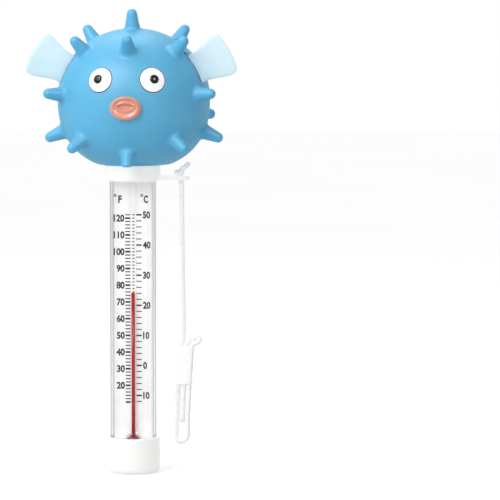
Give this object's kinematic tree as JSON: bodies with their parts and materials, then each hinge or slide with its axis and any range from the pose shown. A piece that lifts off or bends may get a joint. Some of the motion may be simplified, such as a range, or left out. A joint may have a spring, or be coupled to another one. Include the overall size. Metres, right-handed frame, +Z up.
{
  "type": "floating pool thermometer",
  "caption": "Floating pool thermometer: spiky fish float that pulls off a clear tube with a red spirit thermometer and scale, weighted foot and cord tether.",
  "frame": {"origin": "centre of the bottom cap's flat underside, on the tube's axis", "axes": "+Z up the tube towards the float, -Y the way the fish looks and the scale faces, +X towards the tether tab"},
  "size_m": [0.0964, 0.0791, 0.2121],
  "materials": {
    "vinyl_blue": "matte soft vinyl, moulded in one colour",
    "fin_film": "translucent pale blue soft plastic",
    "eye_white": "smooth white, with a dark painted edge",
    "pupil_black": "glossy black",
    "lip_coral": "satin coral vinyl",
    "cap_white": "satin white moulding",
    "seal_rubber": "soft translucent silicone",
    "tube_clear": "clear moulded acrylic",
    "ballast_steel": "zinc plated steel",
    "cushion_foam": "white closed cell foam",
    "card_white": "semi-white plastic strip printed in black",
    "holder_white": "white moulding",
    "stem_glass": "clear thermometer glass",
    "spirit_red": "red dyed spirit",
    "cord_white": "white braided polyester",
    "sleeve_film": "thin clear shrink film"
  },
  "bodies": {
    "root": {"top_cap": "cap_white", "top_seal": "seal_rubber", "bottom_seal": "seal_rubber", "outer_tube": "tube_clear", "bottom_cap": "cap_white", "ballast": "ballast_steel", "bulb_cushion": "cushion_foam", "scale_card": "card_white", "stem_holder": "holder_white", "thermometer_glass": "stem_glass", "spirit_bulb": "spirit_red", "spirit_thread": "spirit_red", "tether_knot": "cord_white", "tether_cord": "cord_white", "tether_hank": "cord_white", "hank_sleeve": "sleeve_film"},
    "neck_ring": {"neck_ring": "seal_rubber"},
    "float": {"float_shell": "vinyl_blue", "fin_left": "fin_film", "fin_right": "fin_film", "tail_fin": "fin_film", "eye_white_left": "eye_white", "eye_white_right": "eye_white", "pupil_left": "pupil_black", "pupil_right": "pupil_black", "lips": "lip_coral"},
    "meniscus": {"spirit_meniscus": "spirit_red"}
  },
  "joints": [
    {"name": "float_twist", "type": "hinge", "parent": "root", "child": "neck_ring", "pos_m": [0, 0, 0.1481], "axis": [0, 0, 1], "range_deg": [-45, 45]},
    {"name": "float_lift", "type": "slide", "parent": "neck_ring", "child": "float", "axis": [0, 0, 1], "range_m": [0, 0.022]},
    {"name": "spirit_rise", "type": "slide", "parent": "root", "child": "meniscus", "axis": [0, 0, 1], "range_m": [-0.0502, 0.0358], "deforming": ["spirit_thread"]}
  ]
}
